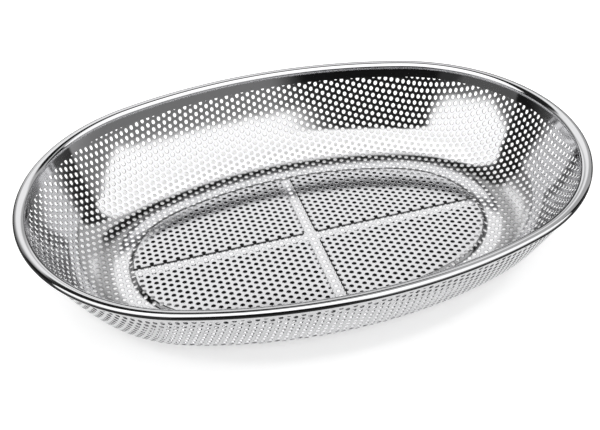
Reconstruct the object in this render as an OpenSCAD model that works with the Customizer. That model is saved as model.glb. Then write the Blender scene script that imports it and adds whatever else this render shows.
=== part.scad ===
/* [Overall] */
// Length over the rim bead
length = 295; // [270:1:330]
// Width over the rim bead
width = 208; // [196:1:224]
// How much smaller than half the width the radius of the two ends is
end_ease = 9; // [6:0.5:16]
// Height from the table to the top of the bead
height = 48; // [42:0.5:58]

/* [Sheet] */
// Thickness of the perforated sheet
sheet_t = 0.5; // [0.4:0.05:0.8]
// Outside radius of the bend between foot and wall
bend_radius = 28; // [24:0.5:30]
// Angle through which that bend turns up from the table
bend_turn = 58.5; // [56:0.5:61]
// Outside radius of the gently curved wall above the bend
wall_radius = 223; // [180:1:300]

/* [Foot and floor] */
// Width of the flat foot ring that stands on the table, along the sides
foot_w = 3.5; // [3:0.25:5]
// How much wider the foot ring is at the two ends
foot_extra = 3; // [0:0.5:4]
// Height of the raised floor panels above the foot ring
panel_h = 1; // [0.8:0.1:1.6]
// Width of the sloped step from the foot ring up to the panels
step_w = 3.5; // [2.5:0.25:5]
// Flat width of the two crossing channels
channel_w = 5.6; // [4.5:0.1:7]
// Width of the sloped side of a channel
channel_side = 0.8; // [0.7:0.1:1.5]

/* [Rim] */
// Width of the rolled bead, across the wall
bead_w = 5.9; // [5:0.1:7]
// Height of the rolled bead, along the wall
bead_h = 3.8; // [3.4:0.1:4.6]
// Radius of the bead's two narrow sides
bead_end_r = 1.6; // [1.3:0.05:1.65]
// Tilt of the bead, outer side up
bead_tilt = 10; // [0:1:20]
// Thickness of the rolled strip
strip_t = 0.5; // [0.4:0.05:0.6]
// Length of the plain flange inside the wall, below the bead
flange_h = 5.6; // [3:0.1:8]
// Length of the short lip outside the wall, below the bead
lip_h = 1.2; // [0.9:0.1:3]
// Length of the sheet's upper edge that is held inside the bead
tuck = 1.3; // [1:0.1:1.6]
// Clearance between the strip and the sheet that it grips
grip_gap = 0.1; // [0.05:0.01:0.15]

/* [Perforation] */
// Diameter of the openings in the floor. Each opening stands for a group of the sheet's fine holes.
floor_hole_d = 6; // [3:0.5:7]
// Distance between neighbouring openings in the floor
floor_pitch = 12; // [12:0.5:20]
// Diameter of the openings in the wall
wall_hole_d = 8; // [4:0.5:9]
// Rows of openings up the wall
wall_rows = 3; // [2:1:3]
// Openings along each end of the oval, in one row
end_count = 12; // [6:1:12]
// Openings along each side of the oval, in one row
side_count = 8; // [4:1:8]
// Plain margin between an opening and a bend or an edge
hole_margin = 2; // [1.5:0.25:4]

/* [Hidden] */
$fn = 96;
// Room by which a cutting shape passes the faces that it cuts
cut = 1;

// Plan: a four-centre oval. All its curves share these centres, so the section is the same all round.
half_l = length / 2;
half_w = width / 2;
end_radius = half_w - end_ease;
end_x = half_l - end_radius;
side_radius = side_arc(end_x);
side_y = side_radius - half_w;
join_angle = atan2(side_y, end_x);
// The floor panels have a shorter oval of their own, with the centres of its ends here
panel_x = end_x - foot_extra;

// Bead section: another four-centre oval, with its long axis across the wall
bead_x = bead_w / 2 - bead_end_r;
bead_flat_r = (bead_x * bead_x + bead_h * bead_h / 4 - bead_end_r * bead_end_r) / (bead_h - 2 * bead_end_r);
bead_y = bead_flat_r - bead_h / 2;
bead_join = atan2(bead_y, bead_x);
bead_reach = bead_x * cos(bead_tilt) + bead_end_r;
bead_rise = bead_flat_r - bead_y * cos(bead_tilt);

// Seat: the middle of the bead's underside, where the sheet enters it
bead_z = height - bead_rise;
seat_in = bead_reach - bead_h / 2 * sin(bead_tilt);
seat_z = bead_z - bead_h / 2 * cos(bead_tilt);

// Wall section: the bend, then the gentle curve, up to the seat
mid_r = wall_radius - sheet_t / 2;
bend_out = bend_radius * sin(bend_turn);
bend_up = bend_radius * (1 - cos(bend_turn));
wall_z = bend_up + wall_radius * cos(bend_turn);
top_turn = acos((wall_z - seat_z) / mid_r);
bend_len = (bend_radius - sheet_t / 2) * bend_turn * PI / 180;
wall_len = bend_len + mid_r * (top_turn - bend_turn) * PI / 180;
// Angle between the wall and the bead's short axis
lean = bead_tilt + 90 - top_turn;

// Insets in plan, along the sides, from the bead's outermost edge: foot ring, its inner edge, floor panels
foot_in = mm(bend_out + mid_r * sin(top_turn) - wall_radius * sin(bend_turn) + seat_in);
step_in = foot_in + foot_w;
panel_in = step_in + step_w;
wall_x = bend_out - wall_radius * sin(bend_turn) - foot_in;

// A length kept to a thousandth of a millimetre, so that neighbouring shapes share their faces
function mm(v) = round(v * 1000) / 1000;

// Radius of the side arcs of an oval with the rim's width and the centres of its ends at x
function side_arc(x) = (x * x + half_w * half_w - end_radius * end_radius) / (2 * end_ease);

// Angle at the centre of the wall's curve for a length of the wall
function wall_angle(len) = len / mid_r * 180 / PI;

// Points along an arc of a section, with angles measured up from straight down
function arc(centre, r, from, to, n, first = 0) =
    [for (i = [first : n]) let (a = from + (to - from) * i / n)
        [mm(centre.x + r * sin(a)), mm(centre.y - r * cos(a))]];

// The same list of points the other way round
function back(list) = [for (i = [len(list) - 1 : -1 : 0]) list[i]];

// One face of the pressed sheet, at depth t below its outer surface, from the foot ring to the bead
function sheet_face(t) = concat(
    [[-foot_in - foot_w / 2, t], [-foot_in, t]],
    arc([-foot_in, bend_radius], bend_radius - t, 0, bend_turn, 12, 1),
    arc([wall_x, wall_z], wall_radius - t, bend_turn, top_turn + wall_angle(tuck), 7, 1)
);

// One face of the rolled strip round the bead, at depth t, open for the wall by gap each way
function bead_face(t, gap) =
    let (
        end_r = bead_end_r - t,
        flat_r = bead_flat_r - t,
        far = 90 - bead_join,
        near_in = asin((gap / cos(lean) - t * tan(lean)) / flat_r),
        near_out = asin((gap / cos(lean) + t * tan(lean)) / flat_r),
        ring = concat(
            arc([0, bead_y], flat_r, -near_in, -far, 2),
            arc([-bead_x, 0], end_r, -far, -180 + far, 8, 1),
            arc([0, -bead_y], flat_r, -180 + far, -180 - far, 6, 1),
            arc([bead_x, 0], end_r, 180 - far, far, 8, 1),
            arc([0, bead_y], flat_r, far, near_out, 2, 1)
        )
    )
    [for (p = ring) [
        mm(-bead_reach + p.x * cos(bead_tilt) - p.y * sin(bead_tilt)),
        mm(bead_z + p.x * sin(bead_tilt) + p.y * cos(bead_tilt))
    ]];

// Points down the wall from just below the bead, at offset t outwards from the sheet's outer face
function along_wall(t, drop) =
    arc([wall_x, wall_z], wall_radius + t, top_turn - wall_angle(0.5), top_turn - wall_angle(drop), 2);

// Whether a point of the plan lies inside the oval at a given inset
function in_oval(p, inset) =
    let (x = abs(p.x), y = abs(p.y), in_end = x > end_x && atan2(y, x - end_x) < join_angle)
    in_end ? norm([x - end_x, y]) < end_radius - inset
           : norm([x, y + side_y]) < side_radius - inset;

// The share of the plan that belongs to one end, and the share that belongs to one side
module end_share(x) {
    y = side_arc(x) - half_w;
    translate([0, 0, -cut]) linear_extrude(height = height + 2 * cut)
        polygon([[x, 0], [6 * x, 5 * y], [6 * x, -5 * y]]);
}
module side_share(x) {
    y = side_arc(x) - half_w;
    translate([0, 0, -cut]) linear_extrude(height = height + 2 * cut)
        polygon([[-x, 0], [x, 0], [6 * x, 5 * y], [-6 * x, 5 * y]]);
}

// Carries a section round the oval. Its x runs outwards from the bead's outermost edge.
module around_oval() {
    for (side = [0, 1]) {
        mirror([side, 0, 0]) intersection() {
            translate([end_x, 0, 0]) rotate_extrude() translate([end_radius, 0]) children();
            end_share(end_x);
        }
        mirror([0, side, 0]) intersection() {
            translate([0, -side_y, 0]) rotate_extrude() translate([side_radius, 0]) children();
            side_share(end_x);
        }
    }
}

// Solid oval block with the centres of its ends at x, and its own inset at the bottom and at the top
module oval_block(x, low_in, high_in, h) {
    side_r = side_arc(x);
    for (side = [0, 1]) {
        mirror([side, 0, 0]) intersection() {
            translate([x, 0, 0]) cylinder(h = h, r1 = end_radius - low_in, r2 = end_radius - high_in);
            end_share(x);
        }
        mirror([0, side, 0]) intersection() {
            translate([0, half_w - side_r, 0]) cylinder(h = h, r1 = side_r - low_in, r2 = side_r - high_in);
            side_share(x);
        }
    }
}

// Places a child at each of n places along both ends, or along both sides, shifted by a share of a place
module along_ends(n, shift) {
    for (half = [0, 180], i = [0 : n - 1])
        rotate([0, 0, half]) translate([end_x, 0, 0])
            rotate([0, 0, -join_angle + 2 * join_angle * (i + shift) / n])
                translate([end_radius, 0, 0]) children();
}
module along_sides(n, shift) {
    for (half = [0, 180], i = [0 : n - 1])
        rotate([0, 0, half]) translate([0, -side_y, 0])
            rotate([0, 0, join_angle + (180 - 2 * join_angle) * (i + shift) / n])
                translate([side_radius, 0, 0]) children();
}

// The channels as a cross of trenches with sloping sides, open at the top
module channel_cross(h) {
    lo = channel_w / 2;
    hi = lo + channel_side * (h + cut) / h;
    for (turn = [0, 90]) rotate([90, 0, turn])
        translate([0, 0, -length]) linear_extrude(height = 2 * length)
            polygon([[-lo, -cut], [lo, -cut], [lo, 0], [hi, h + cut], [-hi, h + cut], [-lo, 0]]);
}

// The four floor panels as solid blocks with sloping sides, from the table up to z = h
module panel_blocks(h) {
    difference() {
        oval_block(panel_x, step_in, panel_in, h);
        channel_cross(h);
    }
}

// Floor of the sheet: the channels lie on the table and the panels stand above them
module floor_sheet() {
    difference() {
        union() {
            oval_block(end_x, foot_in, foot_in, sheet_t);
            translate([0, 0, sheet_t]) panel_blocks(panel_h);
        }
        panel_blocks(panel_h);
    }
}

// Openings in the floor, in staggered rows with one straight row along the short axis. As in the real
// sheet, which is perforated before it is pressed, they run across the channels and the steps.
module floor_holes() {
    column = floor_pitch * sqrt(3) / 2;
    reach = ceil(half_l / column);
    for (i = [-reach : reach], j = [-reach : reach]) {
        p = [i * column, (j + 0.5 + (abs(i) % 2) / 2) * floor_pitch];
        if (in_oval(p, foot_in + hole_margin + floor_hole_d / 2))
            translate([p.x, p.y, -sheet_t]) cylinder(h = panel_h + 3 * sheet_t, d = floor_hole_d);
    }
}

// One opening, square to the wall at length s up the sheet from the foot ring
module wall_hole(s) {
    in_bend = s < bend_len;
    turn = in_bend ? s / bend_len * bend_turn : bend_turn + wall_angle(s - bend_len);
    translate([in_bend ? -foot_in : wall_x, 0, in_bend ? bend_radius : wall_z])
        rotate([0, 180 - turn, 0])
            translate([0, 0, (in_bend ? bend_radius : wall_radius) - sheet_t / 2])
                cylinder(h = 6 * sheet_t, d = wall_hole_d, center = true);
}

// Openings in the wall: rows one above the other, every other row shifted by half a place
module wall_holes() {
    low = hole_margin + wall_hole_d / 2;
    high = wall_len - flange_h - hole_margin - wall_hole_d / 2;
    for (row = [0 : wall_rows - 1]) {
        s = low + (high - low) * row / (wall_rows - 1);
        shift = row % 2 == 0 ? 0.25 : 0.75;
        along_ends(end_count, shift) wall_hole(s);
        along_sides(side_count, shift) wall_hole(s);
    }
}

// The bowl: one perforated sheet, pressed to shape
module bowl() {
    color("silver") difference() {
        union() {
            around_oval() polygon(concat(sheet_face(0), back(sheet_face(sheet_t))));
            floor_sheet();
        }
        floor_holes();
        wall_holes();
    }
}

// The rim: a polished strip rolled over the sheet's upper edge, with a hollow bead on top,
// a plain flange inside the wall and a short lip outside it
module rim() {
    slot = sheet_t / 2 + grip_gap;
    color("gainsboro") around_oval() polygon(concat(
        back(along_wall(-sheet_t - grip_gap - strip_t, flange_h)),
        bead_face(0, slot + strip_t),
        along_wall(grip_gap + strip_t, lip_h),
        back(along_wall(grip_gap, lip_h)),
        back(bead_face(strip_t, slot)),
        along_wall(-sheet_t - grip_gap, flange_h)
    ));
}

bowl();
rim();
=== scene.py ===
"""Looks of the oval mesh basket: perforated sheet, rolled rim, their steel, and a plain studio."""

import logging
import math
from dataclasses import dataclass, field
from enum import Enum

import bpy
import numpy as np
from mathutils import Matrix

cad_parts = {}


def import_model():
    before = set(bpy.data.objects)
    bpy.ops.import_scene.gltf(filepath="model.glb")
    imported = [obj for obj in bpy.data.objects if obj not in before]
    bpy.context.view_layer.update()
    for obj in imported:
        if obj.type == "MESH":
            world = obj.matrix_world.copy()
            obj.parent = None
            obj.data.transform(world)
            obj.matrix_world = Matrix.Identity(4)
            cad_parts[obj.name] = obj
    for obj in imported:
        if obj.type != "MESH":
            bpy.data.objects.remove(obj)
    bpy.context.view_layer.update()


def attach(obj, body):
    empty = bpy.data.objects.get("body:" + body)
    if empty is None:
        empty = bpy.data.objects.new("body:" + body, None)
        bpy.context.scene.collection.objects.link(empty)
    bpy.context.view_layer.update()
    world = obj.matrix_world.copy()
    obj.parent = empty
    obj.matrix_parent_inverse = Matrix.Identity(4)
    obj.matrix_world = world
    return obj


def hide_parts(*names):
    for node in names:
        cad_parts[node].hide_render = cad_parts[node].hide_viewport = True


LOG = logging.getLogger("basket")
MM = 0.001
FloatArray = np.ndarray
IntArray = np.ndarray
Pair = tuple[float, float]
Triple = tuple[float, float, float]
Socket = bpy.types.NodeSocket


class Slot(Enum):
    """Material slots of the record."""

    SHEET = "sheet"
    RIM = "rim"


def smooth_ramp(value: FloatArray, start: float, width: float) -> tuple[FloatArray, FloatArray]:
    """A soft step: 3u^2 - 2u^3 of the share u of the way through the ramp.

    Args:
        value: Where the ramp is read.
        start: Value at which it leaves 0.
        width: Distance over which it climbs to 1.

    Returns:
        The ramp's height from 0 to 1, and its slope.
    """
    u = np.clip((value - start) / width, 0.0, 1.0)
    return u * u * (3.0 - 2.0 * u), 6.0 * u * (1.0 - u) / width


@dataclass(frozen=True)
class OvalPlan:
    """Four-centre oval in millimetres. All outlines of the basket are parallel curves of it."""

    length: float = 295.0
    width: float = 208.0
    end_radius: float = 95.0

    @property
    def end_x(self) -> float:
        """Distance from the middle to the centre of an end arc."""
        return self.length / 2 - self.end_radius

    @property
    def side_radius(self) -> float:
        """Radius of a side arc: the one that touches the end arcs and has the given width."""
        half = self.width / 2
        return (self.end_x**2 + half**2 - self.end_radius**2) / (2 * (half - self.end_radius))

    @property
    def side_y(self) -> float:
        """Distance from the middle to the centre of a side arc, on the far side."""
        return self.side_radius - self.width / 2

    @property
    def join(self) -> float:
        """Angle from the long axis at which an end arc meets a side arc, in radians."""
        return math.atan2(self.side_y, self.end_x)

    def locate(self, xy: FloatArray) -> tuple[FloatArray, ...]:
        """Finds the arc that each point of the plan belongs to.

        Args:
            xy: Points, one a row.

        Returns:
            Centre of the arc, unit direction from it to the point, distance from it, radius of
            the arc at the rim, and the angle past the join, positive in an end.
        """
        x, y = np.abs(xy[:, 0]), np.abs(xy[:, 1])
        at_end = (x > self.end_x) & (np.arctan2(y, x - self.end_x) < self.join)
        sign = np.where(xy < 0, -1.0, 1.0)
        centre = np.where(
            at_end[:, None],
            np.stack([sign[:, 0] * self.end_x, np.zeros(len(xy))], 1),
            np.stack([np.zeros(len(xy)), -sign[:, 1] * self.side_y], 1),
        )
        arm = xy - centre
        far = np.linalg.norm(arm, axis=1)
        direction = arm / far[:, None]
        radius = np.where(at_end, self.end_radius, self.side_radius)
        past = self.join - np.arctan2(np.abs(direction[:, 1]), np.abs(direction[:, 0]))
        return centre, direction, far, radius, past

    def arcs(self, end_steps: int, side_steps: int) -> tuple[FloatArray, FloatArray, FloatArray]:
        """Stations once round the oval, anticlockwise from the start of the right end.

        Returns:
            Arc centre, unit outward direction and arc radius at each station.
        """
        j = self.join
        spans = (
            (-j, j, self.end_x, 0.0, self.end_radius, end_steps),
            (j, math.pi - j, 0.0, -self.side_y, self.side_radius, side_steps),
            (math.pi - j, math.pi + j, -self.end_x, 0.0, self.end_radius, end_steps),
            (math.pi + j, 2 * math.pi - j, 0.0, self.side_y, self.side_radius, side_steps),
        )
        angle = np.concatenate([np.linspace(a, b, n, endpoint=False) for a, b, *_, n in spans])
        centre = np.concatenate([np.tile([cx, cy], (n, 1)) for _, _, cx, cy, _, n in spans])
        radius = np.concatenate([np.full(n, r) for *_, r, n in spans])
        return centre, np.stack([np.cos(angle), np.sin(angle)], 1), radius


@dataclass(frozen=True)
class BeadSection:
    """The rolled bead in section: a four-centre oval, tilted so that its outer side is up."""

    width: float = 5.9
    height: float = 3.8
    end_r: float = 1.6
    tilt: float = math.radians(10.0)
    top: float = 48.0

    @property
    def end_x(self) -> float:
        """Distance from the bead's middle to the centre of a narrow side."""
        return self.width / 2 - self.end_r

    @property
    def flat_r(self) -> float:
        """Radius of the bead's wide sides."""
        gap = self.height - 2 * self.end_r
        return (self.end_x**2 + self.height**2 / 4 - self.end_r**2) / gap

    @property
    def flat_y(self) -> float:
        """Distance from the bead's middle to the centre of a wide side."""
        return self.flat_r - self.height / 2

    @property
    def far(self) -> float:
        """Angle from straight down at which a wide side meets a narrow one."""
        return math.atan2(self.end_x, self.flat_y)

    @property
    def middle(self) -> Pair:
        """Middle of the bead, outwards from the oval's outermost edge and up from the table."""
        reach = self.end_x * math.cos(self.tilt) + self.end_r
        rise = self.flat_r - self.flat_y * math.cos(self.tilt)
        return -reach, self.top - rise

    @property
    def seat(self) -> Pair:
        """Middle of the bead's underside, where the sheet enters it."""
        x, z = self.middle
        half = self.height / 2
        return x + half * math.sin(self.tilt), z - half * math.cos(self.tilt)


@dataclass(frozen=True)
class SheetSection:
    """The pressed sheet in section, from the foot ring outwards and up. Lengths in millimetres."""

    bead: BeadSection = field(default_factory=BeadSection)
    thickness: float = 0.5
    bend_radius: float = 28.0
    bend_turn: float = math.radians(58.5)
    wall_radius: float = 223.0

    @property
    def mid_bend(self) -> float:
        """Radius of the sheet's middle in the bend."""
        return self.bend_radius - self.thickness / 2

    @property
    def mid_wall(self) -> float:
        """Radius of the sheet's middle in the wall."""
        return self.wall_radius - self.thickness / 2

    @property
    def bend_length(self) -> float:
        """Length of the bend along the sheet's middle."""
        return self.mid_bend * self.bend_turn

    @property
    def wall_centre(self) -> Pair:
        """Centre of the wall's curve, outwards from the foot ring's edge and up from the table."""
        spare = self.bend_radius - self.wall_radius
        return spare * math.sin(self.bend_turn), self.bend_radius - spare * math.cos(self.bend_turn)

    @property
    def top_turn(self) -> float:
        """Turn of the sheet where it enters the bead."""
        return math.acos((self.wall_centre[1] - self.bead.seat[1]) / self.mid_wall)

    @property
    def seat_length(self) -> float:
        """Length of sheet from the foot ring's edge to the bead's underside."""
        return self.bend_length + self.mid_wall * (self.top_turn - self.bend_turn)

    @property
    def foot_in(self) -> float:
        """Inset of the foot ring's outer edge from the outermost edge of the rim."""
        return self.wall_centre[0] + self.mid_wall * math.sin(self.top_turn) - self.bead.seat[0]

    def follow(self, s: FloatArray) -> tuple[FloatArray, FloatArray, FloatArray]:
        """Two arcs in a row: the turn grows as length s over radius, first in the bend, then in the wall.

        Returns:
            Distance outwards, height and turn of the sheet's middle.
        """
        in_bend = s < self.bend_length
        in_wall_turn = self.bend_turn + (s - self.bend_length) / self.mid_wall
        turn = np.where(in_bend, s / self.mid_bend, in_wall_turn)
        radius = np.where(in_bend, self.mid_bend, self.mid_wall)
        cx, cz = self.wall_centre
        out = np.where(in_bend, 0.0, cx) + radius * np.sin(turn)
        up = np.where(in_bend, self.bend_radius, cz) - radius * np.cos(turn)
        return out, up, turn


@dataclass(frozen=True)
class FloorRelief:
    """Raised floor panels: foot ring, sloped step and the cross of channels. Millimetres.

    The two soft widths widen a slope at each side, and below zero they make it steeper.
    """

    foot_in: float
    height: float = 1.0
    foot_w: float = 3.5
    foot_extra: float = 3.0
    step_w: float = 3.5
    channel_w: float = 5.6
    channel_side: float = 0.8
    bank_soft: float = -0.2
    step_soft: float = -0.35

    @property
    def plan(self) -> OvalPlan:
        """The panels' own oval: shorter than the rim's, because the foot ring is wider at its ends."""
        return OvalPlan(length=OvalPlan().length - 2 * self.foot_extra)

    @property
    def step(self) -> Pair:
        """Start and width of the step, inwards from the foot ring's outer edge."""
        return self.foot_w - self.step_soft, self.step_w + 2 * self.step_soft

    @property
    def bank(self) -> Pair:
        """Start and width of a channel's side, from the channel's middle."""
        return self.channel_w / 2 - self.bank_soft, self.channel_side + 2 * self.bank_soft

    def inward(self, xy: FloatArray) -> tuple[FloatArray, FloatArray]:
        """Distance inwards from the foot ring's outer edge, by the panels' oval, and way outwards."""
        _, direction, far, rim, _ = self.plan.locate(xy)
        return rim - self.foot_in - far, direction

    def raise_by(self, xy: FloatArray) -> tuple[FloatArray, FloatArray]:
        """The lowest of three soft ramps: the step, and one for each channel.

        Returns:
            Height above the foot ring, and its gradient in the plan.
        """
        inward, direction = self.inward(xy)
        step, step_slope = smooth_ramp(inward, *self.step)
        side_x, slope_x = smooth_ramp(np.abs(xy[:, 0]), *self.bank)
        side_y, slope_y = smooth_ramp(np.abs(xy[:, 1]), *self.bank)
        ramps = np.stack([step, side_x, side_y])
        pick = np.argmin(ramps, axis=0)
        sign = np.where(xy < 0, -1.0, 1.0)
        zero = np.zeros(len(xy))
        slopes = np.stack(
            [
                -step_slope[:, None] * direction,
                np.stack([slope_x * sign[:, 0], zero], 1),
                np.stack([zero, slope_y * sign[:, 1]], 1),
            ]
        )
        rows = np.arange(len(xy))
        return self.height * ramps[pick, rows], self.height * slopes[pick, rows]


@dataclass
class PlanMesh:
    """A flat triangle mesh in the plan of the blank sheet."""

    points: FloatArray
    triangles: IntArray

    def cut(self, values: FloatArray, where: FloatArray | None = None) -> "PlanMesh":
        """Splits the triangles along the line on which a value is zero.

        The new point of an edge is at the zero of the value's straight run along it.

        Args:
            values: One number a point, zero on the line.
            where: Mask of the points near which the cut is made, or all of them.

        Returns:
            The mesh with the line among its edges.
        """
        values = np.where(np.abs(values) < 1e-6, 1e-6, values)
        sign = values > 0
        tri = self.triangles
        lone = np.where(
            sign[tri[:, 1]] == sign[tri[:, 2]], 0, np.where(sign[tri[:, 0]] == sign[tri[:, 2]], 1, 2)
        )
        crossed = (sign[tri[:, 0]] != sign[tri[:, 1]]) | (sign[tri[:, 0]] != sign[tri[:, 2]])
        if where is not None:
            crossed &= where[tri].all(axis=1)
        if not crossed.any():
            return self
        hit, turn = tri[crossed], lone[crossed]
        rows = np.arange(len(hit))
        a, b, c = hit[rows, turn], hit[rows, (turn + 1) % 3], hit[rows, (turn + 2) % 3]
        edges = np.sort(np.concatenate([np.stack([a, b], 1), np.stack([a, c], 1)]), axis=1)
        unique, back = np.unique(edges, axis=0, return_inverse=True)
        lo, hi = unique[:, 0], unique[:, 1]
        share = (values[lo] / (values[lo] - values[hi]))[:, None]
        fresh = self.points[lo] * (1 - share) + self.points[hi] * share
        first = len(self.points)
        p, q = first + back.ravel()[: len(hit)], first + back.ravel()[len(hit) :]
        parts = [np.stack(t, 1) for t in ((a, p, q), (p, b, c), (p, c, q))]
        return PlanMesh(np.concatenate([self.points, fresh]), np.concatenate([tri[~crossed], *parts]))

    def border(self) -> IntArray:
        """Directed edges that only one triangle has: the holes' outlines and the outer edge."""
        tri = self.triangles
        edges = np.concatenate([tri[:, [0, 1]], tri[:, [1, 2]], tri[:, [2, 0]]])
        size = len(self.points)
        key, other = edges[:, 0] * size + edges[:, 1], edges[:, 1] * size + edges[:, 0]
        return edges[~np.isin(key, other)]


def add_object(name: str, data: bpy.types.ID) -> bpy.types.Object:
    """A new object at the origin, linked to the scene."""
    made = bpy.data.objects.new(name, data)
    bpy.context.scene.collection.objects.link(made)
    return made


def mesh_object(name: str, points: FloatArray, faces: list[IntArray]) -> bpy.types.Object:
    """A new object at the origin, from points in millimetres and arrays with a face's corners a row."""
    mesh = bpy.data.meshes.new(name)
    corners = np.concatenate([f.ravel() for f in faces]).astype(np.int32)
    sizes = np.concatenate([np.full(len(f), f.shape[1]) for f in faces])
    mesh.vertices.add(len(points))
    mesh.vertices.foreach_set("co", (points * MM).astype(np.float32).ravel())
    mesh.loops.add(len(corners))
    mesh.loops.foreach_set("vertex_index", corners)
    mesh.polygons.add(len(sizes))
    mesh.polygons.foreach_set("loop_start", (np.cumsum(sizes) - sizes).astype(np.int32))
    mesh.update(calc_edges=True)
    mesh.validate()
    mesh.shade_smooth()
    return add_object(name, mesh)


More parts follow.
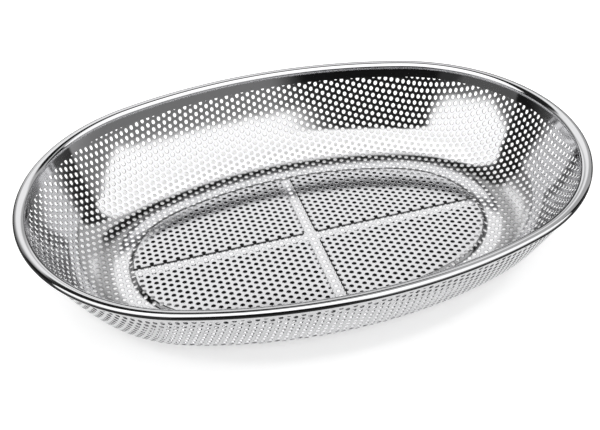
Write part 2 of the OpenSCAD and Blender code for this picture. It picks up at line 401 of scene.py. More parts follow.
@dataclass
class PerforatedSheet:
    """The bowl: one flat perforated blank, drawn into shape without a change of area.

    Lengths are in millimetres. The lip is the ring round a hole that the punch bent. The sheet is
    cut edge_room past the bead's underside, and what is past seat_room is gathered in hidden_edge.
    The draw's fields are the length, points and rounds of the search for the drawn length.
    """

    plan: OvalPlan = field(default_factory=OvalPlan)
    section: SheetSection = field(default_factory=SheetSection)
    relief: FloorRelief = field(default_factory=lambda: FloorRelief(SheetSection().foot_in))
    pitch: float = 4.0
    hole_d: float = 2.26
    lip_d: float = 2.74
    lip_depth: float = 0.09
    lip_turn: float = math.radians(50.0)
    seat_room: float = 0.1
    hidden_edge: float = 1.2
    edge_room: float = 2.7
    blank_reach: float = 75.0
    lattice_half: tuple[int, int] = (56, 42)
    join_blend: float = 22.0
    draw_length: float = 90.0
    draw_points: int = 1801
    draw_rounds: int = 8
    crease_lines: int = 5
    crease_room: float = 1.5
    lean_step: float = 0.05
    # Painted shade: how dark the steel is painted on the step, on the channels' sides and in the lower
    # bend.
    step_shade: float = 0.85
    full_shade_slope: float = 1.5
    bend_shade: float = 0.7
    bend_shade_rise: Pair = (0.0, 2.5)
    bend_shade_fall: Pair = (7.0, 6.0)

    def ring_distance(self, xy: FloatArray) -> tuple[FloatArray, ...]:
        """Where each point of the blank lies from the foot ring.

        Returns:
            Centre, direction, the foot ring's radius, distance outwards from the foot ring's outer
            edge, and the curvature of that edge, softened across the joins of the oval.
        """
        centre, direction, far, rim, past = self.plan.locate(xy)
        ring = rim - self.section.foot_in
        ends = self.plan.end_radius - self.section.foot_in
        sides = self.plan.side_radius - self.section.foot_in
        share, _ = smooth_ramp(past * ring, -self.join_blend, 2 * self.join_blend)
        return centre, direction, ring, far - ring, 1 / sides + (1 / ends - 1 / sides) * share

    def drawn_length(self, out: FloatArray, curvature: FloatArray) -> FloatArray:
        """Length up the drawn sheet that has the same area as the flat ring of the blank.

        The flat ring of width w outside a radius r has the area (w + w^2 / 2r) for each unit of
        edge, and the drawn sheet has the sum of (1 + x / r) along its length, where x is how far
        it stands out. Newton's method finds the length.

        Args:
            out: Width of the flat ring.
            curvature: 1 / r of the foot ring's edge.
        """
        grid = np.linspace(0.0, self.draw_length, self.draw_points)
        stand, _, _ = self.section.follow(grid)
        area = np.concatenate([[0.0], np.cumsum((stand[1:] + stand[:-1]) / 2 * np.diff(grid))])
        flat = out + out * out * curvature / 2
        s = out.copy()
        for _ in range(self.draw_rounds):
            drawn = s + np.interp(s, grid, area) * curvature
            growth = 1 + np.interp(s, grid, stand) * curvature
            s = np.clip(s - (drawn - flat) / growth, 0.0, self.draw_length)
        return s

    def press(self, xy: FloatArray) -> tuple[FloatArray, FloatArray]:
        """Carries points of the flat blank onto the middle of the pressed sheet.

        What would pass the sheet's edge in the rim is gathered there: its length over the edge goes
        to h (1 - e^(-x / h)), where h is the hidden edge.

        Returns:
            Points in space and unit normals on the sheet's inner side.
        """
        centre, direction, ring, out, curvature = self.ring_distance(xy)
        lift, slope = self.relief.raise_by(xy)
        floor = np.column_stack([xy, self.section.thickness / 2 + lift])
        floor_normal = np.column_stack([-slope, np.ones(len(xy))])
        s = self.drawn_length(np.maximum(out, 0.0), curvature)
        edge = self.section.seat_length + self.seat_room
        over = np.maximum(s - edge, 0.0)
        s = np.minimum(s, edge) + self.hidden_edge * (1 - np.exp(-over / self.hidden_edge))
        stand, up, turn = self.section.follow(s)
        wall = np.column_stack([centre + direction * (ring + stand)[:, None], up])
        wall_normal = np.column_stack([-direction * np.sin(turn)[:, None], np.cos(turn)])
        outside = (out > 0)[:, None]
        normal = np.where(outside, wall_normal, floor_normal)
        return np.where(outside, wall, floor), normal / np.linalg.norm(normal, axis=1)[:, None]

    def hole_centres(self) -> FloatArray:
        """Staggered lattice: rows of one pitch along the short axis, one row on the middle line."""
        column = self.pitch * math.sqrt(3) / 2
        across, along = self.lattice_half
        i, k = np.meshgrid(np.arange(-across, across + 1), np.arange(-along, along + 1), indexing="ij")
        y = (k + 0.5 * (i % 2 == 0)) * self.pitch
        xy = np.stack([i * column, y], -1).reshape(-1, 2)
        _, _, _, out, curvature = self.ring_distance(xy)
        s = self.drawn_length(np.maximum(out, 0.0), curvature)
        return xy[(s < self.section.seat_length + self.edge_room) & (out < self.blank_reach)]

    def cell_mesh(self, centres: FloatArray) -> PlanMesh:
        """One six-sided cell a hole: flat land round a twelve-sided lip, down to the hole's edge.

        The cell's corners come first, then the lip's outer corners, then those of the hole's edge.
        Each point holds its place in the blank, its share of the lip (1 at the hole's edge) and
        that share times the unit direction to the hole's middle.

        Args:
            centres: Middles of the holes.

        Returns:
            The flat mesh, with neighbouring cells joined.
        """
        n = 12
        k, m = np.arange(6), np.arange(n)
        sixth, turn = k * math.pi / 3, m * 2 * math.pi / n
        ray = np.stack([np.cos(turn), np.sin(turn)], 1)
        corner = self.pitch / math.sqrt(3) * np.stack([np.cos(sixth), np.sin(sixth)], 1)
        place = np.concatenate([corner, self.lip_d / 2 * ray, self.hole_d / 2 * ray])
        share = np.concatenate([np.zeros((6 + n, 3)), np.column_stack([np.ones(n), -ray])])
        nxt, here, mid, after = (k + 1) % 6, 6 + 2 * k, 7 + 2 * k, 6 + (2 * k + 2) % n
        lip, lip_next, edge, edge_next = 6 + m, 6 + (m + 1) % n, 6 + n + m, 6 + n + (m + 1) % n
        corners = (
            (k, nxt, mid),
            (k, mid, here),
            (nxt, after, mid),
            (lip, lip_next, edge_next),
            (lip, edge_next, edge),
        )
        ring = np.concatenate([np.stack(t, 1) for t in corners])
        points = (centres[:, None, :] + place[None, :, :]).reshape(-1, 2)
        points = np.column_stack([points, np.tile(share, (len(centres), 1))])
        triangles = (ring[None] + len(place) * np.arange(len(centres))[:, None, None]).reshape(-1, 3)
        key = np.round(points[:, :2] * 1000).astype(np.int64)
        _, first, back = np.unique(key, axis=0, return_index=True, return_inverse=True)
        return PlanMesh(points[first], back.ravel()[triangles])

    def crease_cuts(self, flat: PlanMesh) -> PlanMesh:
        """Splits the floor's triangles along its slopes, a few lines a slope."""
        share = np.linspace(0, 1, self.crease_lines)
        panels_from = self.relief.foot_w - self.crease_room
        for axis in (0, 1):
            for line in self.relief.bank[0] + self.relief.bank[1] * share:
                inward, _ = self.relief.inward(flat.points[:, :2])
                flat = flat.cut(np.abs(flat.points[:, axis]) - line, inward > panels_from)
        for line in self.relief.step[0] + self.relief.step[1] * share:
            inward, _ = self.relief.inward(flat.points[:, :2])
            flat = flat.cut(inward - line)
        return flat

    def crease_shade(self, place: FloatArray) -> FloatArray:
        """Painted shade at each point, from 0 to 1: darker paint in the creases and the lower bend.

        The step has one value, a channel's side has its slope over the slope of full shade, and
        the lower bend has a soft ramp up times one less a soft ramp down.
        """
        inward, _ = self.relief.inward(place)
        start, width = self.relief.step
        on_step = np.where((inward > start) & (inward < start + width), self.step_shade, 0.0)
        _, slope = self.relief.raise_by(place)
        on_bank = np.linalg.norm(slope, axis=1) / self.full_shade_slope
        out = self.ring_distance(place)[3]
        rise, _ = smooth_ramp(out, *self.bend_shade_rise)
        fall, _ = smooth_ramp(out, *self.bend_shade_fall)
        in_bend = self.bend_shade * rise * (1.0 - fall)
        return np.clip(np.where(out > 0, in_bend, np.maximum(on_step, on_bank)), 0.0, 1.0)

    def thicken(self, name: str, flat: PlanMesh) -> bpy.types.Object:
        """Presses a flat mesh, and gives it both faces and all cut edges, so that it is closed.

        Each face lies half the thickness along the normal from the sheet's middle. At a hole's edge
        the upper face stands higher by the burr that the punch left, and the lower face rolls in by as
        much. The faces keep the normals of the smooth surface, turned away from the hole on the burr
        and towards it below, and the cut edges are square to them.
        """
        place, share, inner = flat.points[:, :2], flat.points[:, 2:3], flat.points[:, 3:]
        middle, normal = self.press(place)
        ahead, _ = self.press(place + self.lean_step * inner)
        toward = (ahead - middle) / np.maximum(np.linalg.norm(ahead - middle, axis=1), 1e-9)[:, None]
        half = self.section.thickness / 2
        burr = self.lip_depth * share
        points = np.concatenate([middle + (half + burr) * normal, middle - (half - burr) * normal])
        lean = self.lip_turn * share
        upper = normal * np.cos(lean) - toward * np.sin(lean)
        lower = -normal * np.cos(lean) + toward * np.sin(lean)
        count, tri, edge = len(middle), flat.triangles, flat.border()
        under = tri[:, ::-1] + count
        sides = np.stack([edge[:, 1], edge[:, 0], edge[:, 0] + count, edge[:, 1] + count], 1)
        piece = mesh_object(name, points, [tri, under, sides])
        run = points[edge[:, 1]] - points[edge[:, 0]]
        across = np.cross(run, normal[edge[:, 0]])
        across /= np.linalg.norm(across, axis=1)[:, None]
        faces = (upper[tri], lower[tri[:, ::-1]], np.repeat(across[:, None], 4, axis=1))
        piece.data.normals_split_custom_set(np.concatenate([f.reshape(-1, 3) for f in faces]))
        # Painted shade in the creases and the lower bend, kept as a point attribute that darkens the
        # steel's colour.
        painted_shade = piece.data.attributes.new("crease_shade", "FLOAT", "POINT")
        painted_shade.data.foreach_set("value", np.tile(self.crease_shade(place), 2).astype(np.float32))
        LOG.info("%s: %d triangles", name, 2 * len(tri) + 2 * len(sides))
        return piece

    def build(self) -> list[bpy.types.Object]:
        """Floor and wall of the sheet, each in a right and a left part, so that every mesh stays light.

        The parts meet between two rows of holes, in the channel that runs along the short axis.
        """
        centres = self.hole_centres()
        out = self.ring_distance(centres)[3]
        on_right = centres[:, 0] > self.pitch / 4
        pieces = []
        for side, near in (("right", on_right), ("left", ~on_right)):
            floor = self.crease_cuts(self.cell_mesh(centres[near & (out <= 0)]))
            pieces.append(self.thicken(f"sheet_floor_{side}", floor))
            pieces.append(self.thicken(f"sheet_wall_{side}", self.cell_mesh(centres[near & (out > 0)])))
        LOG.info("perforated sheet: %d holes", len(centres))
        return pieces


@dataclass
class RolledRim:
    """The rim: one strip rolled into a hollow bead, with a flange inside the wall and a lip outside."""

    plan: OvalPlan = field(default_factory=OvalPlan)
    section: SheetSection = field(default_factory=SheetSection)
    strip_t: float = 0.5
    flange_h: float = 5.6
    lip_h: float = 1.2
    grip_gap: float = 0.1
    bead_room: float = 0.5
    end_steps: int = 84
    side_steps: int = 48
    seat_points: int = 4
    narrow_points: int = 18
    top_points: int = 12
    wall_points: int = 5
    sharp_angle: float = math.radians(42)

    @property
    def lean(self) -> float:
        """Angle between the wall and the bead's short axis."""
        return self.section.bead.tilt + math.pi / 2 - self.section.top_turn

    @staticmethod
    def arc(centre: Pair, radius: float, start: float, stop: float, steps: int) -> FloatArray:
        """Points along an arc, with both ends, and with angles measured up from straight down."""
        angle = np.linspace(start, stop, steps)
        return np.stack([centre[0] + radius * np.sin(angle), centre[1] - radius * np.cos(angle)], 1)

    def bead_face(self, depth: float, gap: float) -> FloatArray:
        """One face of the strip round the bead: five arcs in a row, open below for the wall.

        Args:
            depth: Depth below the bead's outer face.
            gap: Half width of the opening, across the wall.
        """
        bead = self.section.bead
        end_r, flat_r, far = bead.end_r - depth, bead.flat_r - depth, bead.far
        shift = depth * math.tan(self.lean)
        near_in = math.asin((gap / math.cos(self.lean) - shift) / flat_r)
        near_out = math.asin((gap / math.cos(self.lean) + shift) / flat_r)
        below, above = (0.0, bead.flat_y), (0.0, -bead.flat_y)
        inner, outer = (-bead.end_x, 0.0), (bead.end_x, 0.0)
        x, y = np.concatenate(
            [
                self.arc(below, flat_r, -near_in, -far, self.seat_points)[:-1],
                self.arc(inner, end_r, -far, far - math.pi, self.narrow_points)[:-1],
                self.arc(above, flat_r, far - math.pi, -far - math.pi, self.top_points)[:-1],
                self.arc(outer, end_r, math.pi - far, far, self.narrow_points)[:-1],
                self.arc(below, flat_r, far, near_out, self.seat_points),
            ]
        ).T
        cos, sin = math.cos(bead.tilt), math.sin(bead.tilt)
        middle_x, middle_z = bead.middle
        return np.stack([middle_x + x * cos - y * sin, middle_z + x * sin + y * cos], 1)

    def along_wall(self, offset: float, drop: float) -> FloatArray:
        """Points down the wall for a drop below the bead, at an offset from the sheet's outer face."""
        section = self.section
        cx, cz = section.wall_centre
        start = section.top_turn - self.bead_room / section.mid_wall
        stop = section.top_turn - drop / section.mid_wall
        centre = (cx - section.foot_in, cz)
        return self.arc(centre, section.wall_radius + offset, start, stop, self.wall_points)

    def outline(self) -> FloatArray:
        """Closed outline of the strip in section, up the flange, round the bead and down the lip."""
        slot = self.section.thickness / 2 + self.grip_gap
        inside, outside = -self.section.thickness - self.grip_gap, self.grip_gap
        return np.concatenate(
            [
                self.along_wall(inside - self.strip_t, self.flange_h)[::-1],
                self.bead_face(0.0, slot + self.strip_t),
                self.along_wall(outside + self.strip_t, self.lip_h),
                self.along_wall(outside, self.lip_h)[::-1],
                self.bead_face(self.strip_t, slot)[::-1],
                self.along_wall(inside, self.flange_h),
            ]
        )

    def build(self) -> bpy.types.Object:
        """Carries the outline round the oval: each station places it along its outward direction."""
        outline = self.outline()
        centre, direction, radius = self.plan.arcs(self.end_steps, self.side_steps)
        reach = radius[:, None] + outline[None, :, 0]
        points = np.concatenate(
            [
                centre[:, None, :] + direction[:, None, :] * reach[:, :, None],
                np.broadcast_to(outline[None, :, 1:], (len(radius), len(outline), 1)),
            ],
            axis=2,
        )
        rows, cols = len(radius), len(outline)
        i, j = np.meshgrid(np.arange(rows), np.arange(cols), indexing="ij")
        here, up = i * cols + j, i * cols + (j + 1) % cols
        ahead, ahead_up = (i + 1) % rows * cols + j, (i + 1) % rows * cols + (j + 1) % cols
        quads = np.stack([here, up, ahead_up, ahead], -1).reshape(-1, 4)
        piece = mesh_object("rolled_rim", points.reshape(-1, 3), [quads])
        piece.data.set_sharp_from_angle(angle=self.sharp_angle)
        LOG.info("rolled rim: %d quads", len(quads))
        return piece


@dataclass(frozen=True)
class NodeSums:
    """Small sums in a node tree. Each method adds its nodes and returns their output."""

    tree: bpy.types.NodeTree

    def link(self, value: Socket, socket: Socket) -> None:
        """Links an output to an input."""
        self.tree.links.new(value, socket)

    def vector(self, operation: str, value: Socket, other: Triple | None = None) -> bpy.types.Node:
        """A vector operation on a value, with a fixed second vector where it has one."""
        node = self.tree.nodes.new("ShaderNodeVectorMath")
        node.operation = operation
        self.link(value, node.inputs[0])
        if other is not None:
            node.inputs[1].default_value = other
        return node

    def dot(self, value: Socket, other: Triple) -> Socket:
        """Dot product with a fixed vector."""
        return self.vector("DOT_PRODUCT", value, other).outputs["Value"]

    def length(self, value: Socket) -> Socket:
        """Length of a vector."""
        return self.vector("LENGTH", value).outputs["Value"]

    def ramp(self, value: Socket, start: float, stop: float, top: float = 1.0) -> Socket:
        """A smooth step from 0 at start to the given height at stop."""
        node = self.tree.nodes.new("ShaderNodeMapRange")
        node.interpolation_type = "SMOOTHSTEP"
        for label, number in (("From Min", start), ("From Max", stop), ("To Max", top)):
            node.inputs[label].default_value = number
        self.link(value, node.inputs["Value"])
        return node.outputs["Result"]

    def join(self, operation: str, first: Socket, *others: Socket) -> Socket:
        """Values joined one after the other by an operation."""
        for other in others:
            node = self.tree.nodes.new("ShaderNodeMath")
            node.operation = operation
            self.link(first, node.inputs[0])
            self.link(other, node.inputs[1])
            first = node.outputs[0]
        return first

    def both(self, *masks: Socket) -> Socket:
        """Product of the masks."""
        return self.join("MULTIPLY", *masks)

    def either(self, *masks: Socket) -> Socket:
        """The largest of the masks."""
        return self.join("MAXIMUM", *masks)

    def level(self, mask: Socket, low: Socket | float, high: Socket | float) -> Socket:
        """A level that goes from low to high where the mask goes from 0 to 1."""
        node = self.tree.nodes.new("ShaderNodeMix")
        self.link(mask, node.inputs["Factor"])
        for value, slot in ((low, "A"), (high, "B")):
            if isinstance(value, float):
                node.inputs[slot].default_value = value
            else:
                self.link(value, node.inputs[slot])
        return node.outputs["Result"]

    def tint(self, mask: Socket, low: Triple, high: Triple) -> Socket:
        """A colour that goes from low to high where the mask goes from 0 to 1."""
        node = self.tree.nodes.new("ShaderNodeMix")
        node.data_type = "RGBA"
        node.inputs["A"].default_value = (*low, 1.0)
        node.inputs["B"].default_value = (*high, 1.0)
        self.link(mask, node.inputs["Factor"])
        return node.outputs["Result"]


def new_material(name: str) -> tuple[bpy.types.Material, NodeSums]:
    """A new material with nodes, and sums in its tree."""
    made = bpy.data.materials.new(name)
    made.use_nodes = True
    return made, NodeSums(made.node_tree)


@dataclass(frozen=True)
class PolishedSteel:
    """Bright rolled stainless steel, with a faint waviness, fine wipe marks and painted shade in the
    creases.
    """

    name: str
    colour: Triple = (0.64, 0.64, 0.65)
    roughness: float = 0.09
    waviness: float = 0.12
    wave_height: float = 0.0003
    wipe: float = 0.05
    # Share of the colour left where the crease shade is painted in full.
    painted_shade: float = 0.25

    @staticmethod
    def surface_group() -> bpy.types.NodeTree:
        """Node group of the steel's surface, built once: uneven roughness and a height for bump."""
        known = bpy.data.node_groups.get("steel_surface")
        if known:
            return known
        group = bpy.data.node_groups.new("steel_surface", "ShaderNodeTree")
        for label, kind, way in (
            ("Roughness", "NodeSocketFloat", "INPUT"),
            ("Wipe", "NodeSocketFloat", "INPUT"),
            ("Roughness", "NodeSocketFloat", "OUTPUT"),
            ("Height", "NodeSocketFloat", "OUTPUT"),
        ):
            group.interface.new_socket(name=label, in_out=way, socket_type=kind)
        nodes, links = group.nodes, group.links
        source, sink = nodes.new("NodeGroupInput"), nodes.new("NodeGroupOutput")
        place = nodes.new("ShaderNodeTexCoord").outputs["Object"]
        wave, smear = nodes.new("ShaderNodeTexNoise"), nodes.new("ShaderNodeTexNoise")
        for noise, looks in (
            (wave, {"Scale": 95.0, "Detail": 2.0}),
            (smear, {"Scale": 38.0, "Detail": 4.0, "Distortion": 0.8}),
        ):
            links.new(place, noise.inputs["Vector"])
            for label, number in looks.items():
                noise.inputs[label].default_value = number
        spread = nodes.new("ShaderNodeMath")
        spread.operation = "MULTIPLY_ADD"
        links.new(smear.outputs["Fac"], spread.inputs[0])
        links.new(source.outputs["Wipe"], spread.inputs[1])
        links.new(source.outputs["Roughness"], spread.inputs[2])
        links.new(spread.outputs[0], sink.inputs["Roughness"])
        links.new(wave.outputs["Fac"], sink.inputs["Height"])
        return group

    def material(self) -> bpy.types.Material:
        """The material. The crease shade attribute, which is 0 on pieces that don't have it, darkens its
        colour as painted shade.
        """
        made, sums = new_material(self.name)
        nodes = made.node_tree.nodes
        shader = nodes["Principled BSDF"]
        shader.inputs["Metallic"].default_value = 1.0
        surface = nodes.new("ShaderNodeGroup")
        surface.node_tree = self.surface_group()
        surface.inputs["Roughness"].default_value = self.roughness - self.wipe / 2
        surface.inputs["Wipe"].default_value = self.wipe
        bump = nodes.new("ShaderNodeBump")
        bump.inputs["Strength"].default_value = self.waviness
        bump.inputs["Distance"].default_value = self.wave_height
        # Painted shade: the crease shade attribute darkens the colour in the creases and the lower bend.
        crease_shade = nodes.new("ShaderNodeAttribute")
        crease_shade.attribute_name = "crease_shade"
        shaded_colour = tuple(self.painted_shade * part for part in self.colour)
        sums.link(sums.tint(crease_shade.outputs["Fac"], self.colour, shaded_colour), shader.inputs["Base Color"])
        sums.link(surface.outputs["Roughness"], shader.inputs["Roughness"])
        sums.link(surface.outputs["Height"], bump.inputs["Height"])
        sums.link(bump.outputs["Normal"], shader.inputs["Normal"])
        return made


def look_matrix(place: Triple, forward: FloatArray, roll: float = 0.0) -> Matrix:
    """Matrix of a lamp or camera: -Z runs along forward, and X is level but for the roll.

    Args:
        place: Where it stands.
        forward: Direction of view.
        roll: Turn about the view, in radians.
    """
    ahead = forward / np.linalg.norm(forward)
    right = np.cross(ahead, [0.0, 0.0, 1.0])
    right /= np.linalg.norm(right)
    up = np.cross(right, ahead)
    turned = math.cos(roll) * right - math.sin(roll) * up
    upright = math.sin(roll) * right + math.cos(roll) * up
    matrix = np.eye(4)
    matrix[:3, :] = np.stack([turned, upright, -ahead, place], axis=1)
    return Matrix(matrix.tolist())


@dataclass(frozen=True)
class SoftBox:
    """One oblong lamp that looks at a point above the table."""

    name: str
    place: Triple
    size: Pair
    watts: float
    aim: Triple = (0.0, 0.0, 0.02)

    def build(self) -> None:
        """Adds the lamp."""
        lamp = bpy.data.lights.new(self.name, "AREA")
        lamp.shape = "RECTANGLE"
        lamp.size, lamp.size_y = self.size
        lamp.energy = self.watts
        holder = add_object(self.name, lamp)
        holder.matrix_world = look_matrix(self.place, np.subtract(self.aim, self.place))


@dataclass(frozen=True)
class Shade:
    """A dark upright oval near the basket that only the steel mirrors, soft outside its core."""

    name: str
    middle: Triple
    half: Pair
    along: Pair
    level: float = 0.01
    core: float = 0.6
    corners: int = 48

    def material(self) -> bpy.types.Material:
        """A faint glow that turns clear as the point's place, in shares of the half sizes, nears 1."""
        made, sums = new_material(self.name)
        nodes = made.node_tree.nodes
        nodes.clear()
        glow, out = nodes.new("ShaderNodeEmission"), nodes.new("ShaderNodeOutputMaterial")
        glow.inputs["Strength"].default_value = self.level
        clear, blend = nodes.new("ShaderNodeBsdfTransparent"), nodes.new("ShaderNodeMixShader")
        place = nodes.new("ShaderNodeTexCoord").outputs["Object"]
        centred = sums.vector("SUBTRACT", place, self.middle).outputs["Vector"]
        shares = nodes.new("ShaderNodeCombineXYZ")
        across = (self.along[0] / self.half[0], self.along[1] / self.half[0], 0.0)
        sums.link(sums.dot(centred, across), shares.inputs["X"])
        sums.link(sums.dot(centred, (0.0, 0.0, 1.0 / self.half[1])), shares.inputs["Y"])
        edge = sums.ramp(sums.length(shares.outputs["Vector"]), self.core, 1.0)
        sums.link(edge, blend.inputs["Fac"])
        sums.link(glow.outputs[0], blend.inputs[1])
        sums.link(clear.outputs[0], blend.inputs[2])
        sums.link(blend.outputs[0], out.inputs["Surface"])
        return made

    def build(self) -> None:
        """Adds the oval, with its corners at equal angles."""
        angle = np.linspace(0.0, 2 * math.pi, self.corners, endpoint=False)
        across, up = np.cos(angle) * self.half[0], np.sin(angle) * self.half[1]
        place = np.array(self.middle) + np.stack([across * self.along[0], across * self.along[1], up], 1)
        card = mesh_object(self.name, place / MM, [np.arange(self.corners)[None, :]])
        card.data.materials.append(self.material())
        card.visible_camera = card.visible_diffuse = card.visible_shadow = False
        card.visible_transmission = False


@dataclass
class Room:
    """The studio that the steel mirrors: a white tent in front and above, black flags, a pale backdrop.

    The far parts are read on the unit direction of view (side, ahead, up), and what stands near is
    built as cards. The levels come first. Each of the other pairs is where a soft mask is 0 and
    where it is 1, in the part of the direction that its name ends with.
    """

    tent: float = 1.55
    backdrop: Pair = (0.25, 0.55)
    backdrop_top: float = 1.25
    flag: float = 0.012
    low_flag: float = 0.09
    low_front: float = 0.08
    haze: Pair = (0.12, 0.24)
    horizon: float = 0.42
    tent_backs: tuple[Triple, ...] = ((0.22, 1.0, -0.445), (0.07, 1.0, -0.445))
    tent_feet: tuple[Triple, ...] = ((0.0, 0.465, 1.0), (0.24, 0.36, 1.0))
    back_edge: Pair = (0.02, -0.02)
    foot_edge: Pair = (-0.015, 0.015)
    tent_up: Pair = (0.27, 0.295)
    left_flag_side: Pair = (0.14, 0.04)
    left_flag_ahead: Pair = (0.65, 0.57)
    right_flag_side: Pair = (0.62, 0.70)
    right_flag_ahead: Pair = (0.28, 0.22)
    rear_flag_up: Pair = (0.28, 0.18)
    rear_flag_ahead: Pair = (0.3, 0.4)
    dark_flag_up: Pair = (0.04, 0.15)
    backdrop_side: Pair = (-0.6, -0.1)
    top_up: Pair = (0.45, 0.55)
    top_ahead: Pair = (0.6, 0.7)
    straight_ahead: Pair = (0.86, 0.93)
    top_side: Pair = (-0.45, -0.1)
    haze_side: Pair = (-0.2, 0.2)
    haze_up: Pair = (0.05, 0.2)
    across_view: Triple = (0.9624, -0.2715, 0.0)
    right_of_camera: Pair = (0.08, 0.42)
    left_of_camera: Pair = (-0.28, -0.72)
    shades: tuple[Shade, ...] = (
        Shade("camera_head", (-0.0980, -0.3650, 0.20), (0.20, 0.29), (0.9624, -0.2715), core=0.75),
        Shade("camera_body", (-0.2350, -0.3300, 0.0), (0.38, 0.31), (0.9624, -0.2715), 0.045, 0.85),
        Shade("rear_bar", (-0.03, 0.35, 0.54), (0.36, 0.17), (1.0, 0.0), 0.02, 0.8),
    )

    def build(self) -> None:
        """Makes the world: each mask is a soft ramp of a dot product, and the masks mix the levels."""
        for shade in self.shades:
            shade.build()
        world = bpy.data.worlds.new("studio_room")
        bpy.context.scene.world = world
        world.use_nodes = True
        sums = NodeSums(world.node_tree)
        ramp, both, either, level = sums.ramp, sums.both, sums.either, sums.level
        view = world.node_tree.nodes.new("ShaderNodeTexCoord").outputs["Generated"]
        side, ahead, up = (sums.dot(view, tuple(axis)) for axis in np.eye(3))

        left_flag = both(ramp(side, *self.left_flag_side), ramp(ahead, *self.left_flag_ahead))
        right_flag = both(ramp(side, *self.right_flag_side), ramp(ahead, *self.right_flag_ahead))
        rear_flag = both(ramp(up, *self.rear_flag_up), ramp(ahead, *self.rear_flag_ahead))
        flag = level(ramp(up, *self.dark_flag_up), self.low_flag, self.flag)
        pale = level(ramp(side, *self.backdrop_side), *self.backdrop)
        top = both(ramp(up, *self.top_up), ramp(ahead, *self.top_ahead))
        top = both(either(top, ramp(ahead, *self.straight_ahead)), ramp(side, *self.top_side))
        flags = either(left_flag, right_flag, rear_flag)
        behind = level(flags, level(top, pale, self.backdrop_top), flag)

        across = sums.dot(view, self.across_view)
        beside = either(ramp(across, *self.right_of_camera), ramp(across, *self.left_of_camera))
        haze = level(ramp(side, *self.haze_side), *self.haze)
        low = level(beside, self.low_front, level(ramp(up, *self.haze_up), self.horizon, haze))

        feet = [ramp(sums.dot(view, plane), *self.foot_edge) for plane in self.tent_feet]
        backs = [ramp(sums.dot(view, plane), *self.back_edge) for plane in self.tent_backs]
        above, inside = both(ramp(up, *self.tent_up), *feet), both(*backs)
        seen = level(inside, behind, level(above, low, self.tent))
        sums.link(seen, world.node_tree.nodes["Background"].inputs["Color"])


@dataclass
class TableTop:
    """The table: a flat sheet lifted to white away from the basket, which keeps the basket's shadow.

    Each pair is where a soft mask is 0 and where it is 1, in ellipses of the rim's size or, for
    panel_edge, of the floor panels' size.
    """

    half: float = 12.0
    colour: float = 0.8
    # Colour of the painted shade under the raised panels and of the painted dark reflection of the far
    # table.
    painted_dark: float = 0.03
    glow: float = 0.42
    contact_glow: float = 0.3
    bounce_glow: float = 0.3
    plan: OvalPlan = field(default_factory=OvalPlan)
    relief: FloorRelief = field(default_factory=lambda: FloorRelief(SheetSection().foot_in))
    lifted: Pair = (0.70, 0.90)
    near: Pair = (1.22, 1.08)
    panel_edge: Pair = (1.0, 0.94)

    def under_panels(self, sums: NodeSums, place: Socket) -> Socket:
        """Mask of the painted shade on the table under the raised panels, clear of the channels and the
        foot ring.
        """
        split = sums.tree.nodes.new("ShaderNodeSeparateXYZ")
        sums.link(sums.vector("ABSOLUTE", place).outputs["Vector"], split.inputs[0])
        start = self.relief.channel_w / 2 * MM
        stop = (self.relief.channel_w / 2 + self.relief.channel_side) * MM
        off_channels = sums.both(*(sums.ramp(split.outputs[axis], start, stop) for axis in "XY"))
        inset = 2 * (self.relief.foot_in + self.relief.foot_w)
        panels = self.reach(sums, place, self.relief.plan.length - inset, self.plan.width - inset)
        return sums.both(sums.ramp(panels, *self.panel_edge), off_channels)

    def reach(self, sums: NodeSums, place: Socket, length: float, width: float) -> Socket:
        """Distance from the middle, 1 on the ellipse of the given length and width in millimetres."""
        shrink = sums.tree.nodes.new("ShaderNodeMapping")
        shrink.inputs["Scale"].default_value = (2 / (length * MM), 2 / (width * MM), 1.0)
        sums.link(place, shrink.inputs["Vector"])
        return sums.length(shrink.outputs["Vector"])

    def material(self) -> bpy.types.Material:
        """White, with a glow for the camera and for what the steel mirrors near the basket, painted shade
        under the panels, and a painted dark reflection where the steel mirrors the far table.
        """
        made, sums = new_material("white_table")
        nodes = made.node_tree.nodes
        ramp, both, either = sums.ramp, sums.both, sums.either
        shader = nodes["Principled BSDF"]
        shader.inputs["Roughness"].default_value = 0.8
        shader.inputs["Specular IOR Level"].default_value = 0.1
        shader.inputs["Emission Color"].default_value = (1.0, 1.0, 1.0, 1.0)
        path = nodes.new("ShaderNodeLightPath").outputs
        place = nodes.new("ShaderNodeTexCoord").outputs["Object"]

        shaded = self.under_panels(sums, place)
        open_table = ramp(shaded, 1.0, 0.0)
        rim = self.reach(sums, place, self.plan.length, self.plan.width)
        lift = either(ramp(rim, *self.lifted, self.glow), ramp(shaded, 1.0, 0.0, self.contact_glow))
        looked_at = either(path["Is Camera Ray"], path["Is Transmission Ray"])
        bounce = both(path["Is Glossy Ray"], ramp(rim, *self.near, self.bounce_glow))
        glow = either(both(looked_at, both(lift, open_table)), both(bounce, open_table))
        # Painted dark reflection: the far table turns dark where the steel mirrors it.
        far_mirrored = both(path["Is Glossy Ray"], ramp(rim, *self.near[::-1]))
        # Painted shade under the panels and painted dark reflection far off, both in the base colour.
        base = sums.tint(either(far_mirrored, shaded), (self.colour,) * 3, (self.painted_dark,) * 3)
        sums.link(base, shader.inputs["Base Color"])
        sums.link(glow, shader.inputs["Emission Strength"])
        return made

    def build(self) -> None:
        """Adds the table."""
        h = self.half / MM
        grid = np.array([[-h, -h, 0.0], [h, -h, 0.0], [h, h, 0.0], [-h, h, 0.0]])
        table = mesh_object("table", grid, [np.array([[0, 1, 2, 3]])])
        table.data.materials.append(self.material())


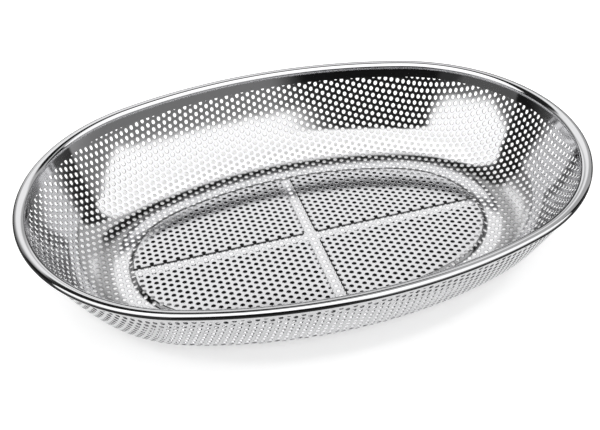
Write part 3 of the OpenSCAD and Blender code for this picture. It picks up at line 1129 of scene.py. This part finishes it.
@dataclass(frozen=True)
class PhotoCamera:
    """The photograph's camera, fitted to the rim, the foot and the rows of holes."""

    place: Triple = (-0.1001, -0.3610, 0.3017)
    forward: Triple = (0.2157, 0.7645, -0.6074)
    roll: float = math.radians(2.02)
    lens: float = 53.11
    sensor: float = 36.0
    shift: Pair = (-0.024, -0.0008)
    clip: Pair = (0.01, 100.0)

    def build(self) -> None:
        """Adds the camera and makes it the scene's."""
        lens = bpy.data.cameras.new("photo_camera")
        lens.lens, lens.sensor_width = self.lens, self.sensor
        lens.shift_x, lens.shift_y = self.shift
        lens.clip_start, lens.clip_end = self.clip
        holder = add_object("photo_camera", lens)
        holder.matrix_world = look_matrix(self.place, np.array(self.forward), self.roll)
        bpy.context.scene.camera = holder


@dataclass
class Studio:
    """Plain white table, the room round it, a soft lamp and the photograph's camera."""

    table: TableTop = field(default_factory=TableTop)
    room: Room = field(default_factory=Room)
    camera: PhotoCamera = field(default_factory=PhotoCamera)
    lamp: SoftBox = SoftBox("overhead_lamp", (-0.1, 0.1, 1.6), (1.2, 1.2), 2.0)

    def build(self) -> None:
        """Adds table, room, lamp and camera."""
        for part in (self.table, self.room, self.lamp, self.camera):
            part.build()
        bpy.context.scene.view_settings.view_transform = "Standard"


def dress(pieces: list[bpy.types.Object], finish: PolishedSteel, slot: Slot, node: str) -> None:
    """Gives pieces their finish and body, and hides the CAD node they stand for.

    Args:
        pieces: The finished pieces.
        finish: Their steel.
        slot: Not used.
        node: The CAD node that they replace.
    """
    steel = finish.material()
    for piece in pieces:
        piece.data.materials.append(steel)
        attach(piece, "root")
        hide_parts(node)


def main() -> None:
    """Builds the basket's pieces in order, then the studio."""
    logging.basicConfig(level=logging.INFO, format="%(message)s")
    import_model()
    sheet_steel = PolishedSteel("bright_sheet_steel")
    rim_steel = PolishedSteel("bright_rim_steel", roughness=0.06, waviness=0.04)
    dress(PerforatedSheet().build(), sheet_steel, Slot.SHEET, "bowl")
    dress([RolledRim().build()], rim_steel, Slot.RIM, "rim")
    Studio().build()
    bpy.context.view_layer.update()


if __name__ == "__main__":
    main()
